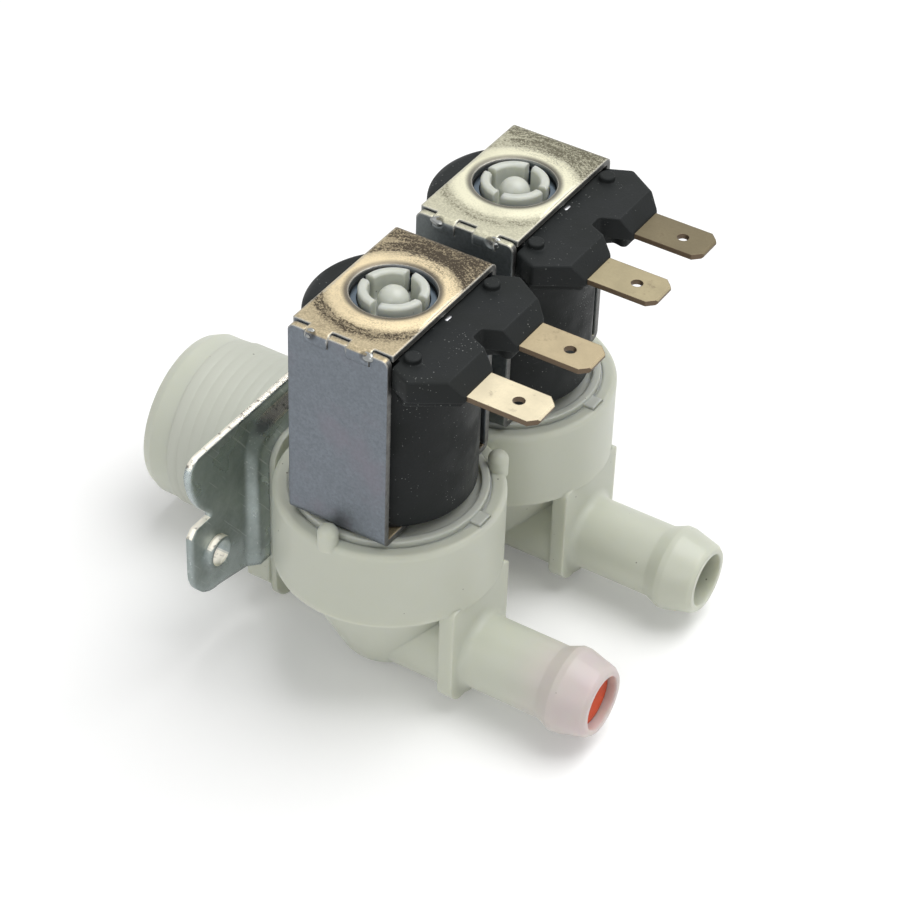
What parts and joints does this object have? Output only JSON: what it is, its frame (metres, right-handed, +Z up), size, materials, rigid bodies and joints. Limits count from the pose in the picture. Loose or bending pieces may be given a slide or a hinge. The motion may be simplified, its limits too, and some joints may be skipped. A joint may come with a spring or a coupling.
{
  "type": "water solenoid valve",
  "caption": "Double water inlet solenoid valve with a threaded inlet, a mounting bracket, coils in steel yokes, blade terminals and hose barb outlets.",
  "frame": {"origin": "on the inlet's axis, at the inner end of its thread", "axes": "+Z up along the coils' axes; -X out of the inlet's mouth; +X the way the outlets and terminals point; the two valves stand side by side along Y"},
  "size_m": [0.0832, 0.0678, 0.0666],
  "materials": {
    "body_nylon": "off-white moulded nylon, slightly translucent",
    "guide_nylon": "off-white moulded nylon",
    "coil_black": "black overmould",
    "bobbin_plastic": "dark plastic",
    "copper_wire": "enamelled copper wire",
    "yoke_steel": "zinc-plated sheet steel",
    "bracket_steel": "zinc-plated sheet steel",
    "sleeve_steel": "plated steel",
    "terminal_metal": "tinned brass",
    "plunger_steel": "stainless steel",
    "spring_steel": "stainless spring wire",
    "seal_rubber": "black rubber",
    "diaphragm_rubber": "black rubber",
    "plate_plastic": "white plastic",
    "strainer_plastic": "pale plastic",
    "regulator_rubber": "orange-red rubber"
  },
  "bodies": {
    "valve": {"armature_guide_1": "guide_nylon", "armature_guide_2": "guide_nylon", "coil_bobbin_1": "bobbin_plastic", "coil_bobbin_2": "bobbin_plastic", "coil_housing_1": "coil_black", "coil_housing_2": "coil_black", "coil_winding_1": "copper_wire", "coil_winding_2": "copper_wire", "diaphragm_1": "diaphragm_rubber", "diaphragm_2": "diaphragm_rubber", "flow_regulator": "regulator_rubber", "inlet_strainer": "strainer_plastic", "lower_sleeve_1": "sleeve_steel", "lower_sleeve_2": "sleeve_steel", "mounting_bracket": "bracket_steel", "plunger_spring_1": "spring_steel", "plunger_spring_2": "spring_steel", "terminal_a_1": "terminal_metal", "terminal_a_2": "terminal_metal", "terminal_b_1": "terminal_metal", "terminal_b_2": "terminal_metal", "upper_sleeve_1": "sleeve_steel", "upper_sleeve_2": "sleeve_steel", "valve_body": "body_nylon", "yoke_1": "yoke_steel", "yoke_2": "yoke_steel"},
    "plunger_1": {"plunger_1": "plunger_steel", "plunger_seal_1": "seal_rubber"},
    "diaphragm_plate_1": {"diaphragm_plate_1": "plate_plastic"},
    "plunger_2": {"plunger_2": "plunger_steel", "plunger_seal_2": "seal_rubber"},
    "diaphragm_plate_2": {"diaphragm_plate_2": "plate_plastic"}
  },
  "joints": [
    {"name": "plunger_lift_1", "type": "slide", "parent": "valve", "child": "plunger_1", "axis": [0, 0, 1], "range_m": [0, 0.0025], "stiffness_N_per_m": 60, "springref_m": -0.006, "deforming": ["plunger_spring_1"]},
    {"name": "diaphragm_lift_1", "type": "slide", "parent": "valve", "child": "diaphragm_plate_1", "axis": [0, 0, 1], "range_m": [0, 0.001], "deforming": ["diaphragm_1"]},
    {"name": "plunger_lift_2", "type": "slide", "parent": "valve", "child": "plunger_2", "axis": [0, 0, 1], "range_m": [0, 0.0025], "stiffness_N_per_m": 60, "springref_m": -0.006, "deforming": ["plunger_spring_2"]},
    {"name": "diaphragm_lift_2", "type": "slide", "parent": "valve", "child": "diaphragm_plate_2", "axis": [0, 0, 1], "range_m": [0, 0.001], "deforming": ["diaphragm_2"]}
  ],
  "couplings": [
    {"joint": "diaphragm_lift_1", "follows": "plunger_lift_1", "ratio": 0.4},
    {"joint": "diaphragm_lift_2", "follows": "plunger_lift_2", "ratio": 0.4}
  ]
}
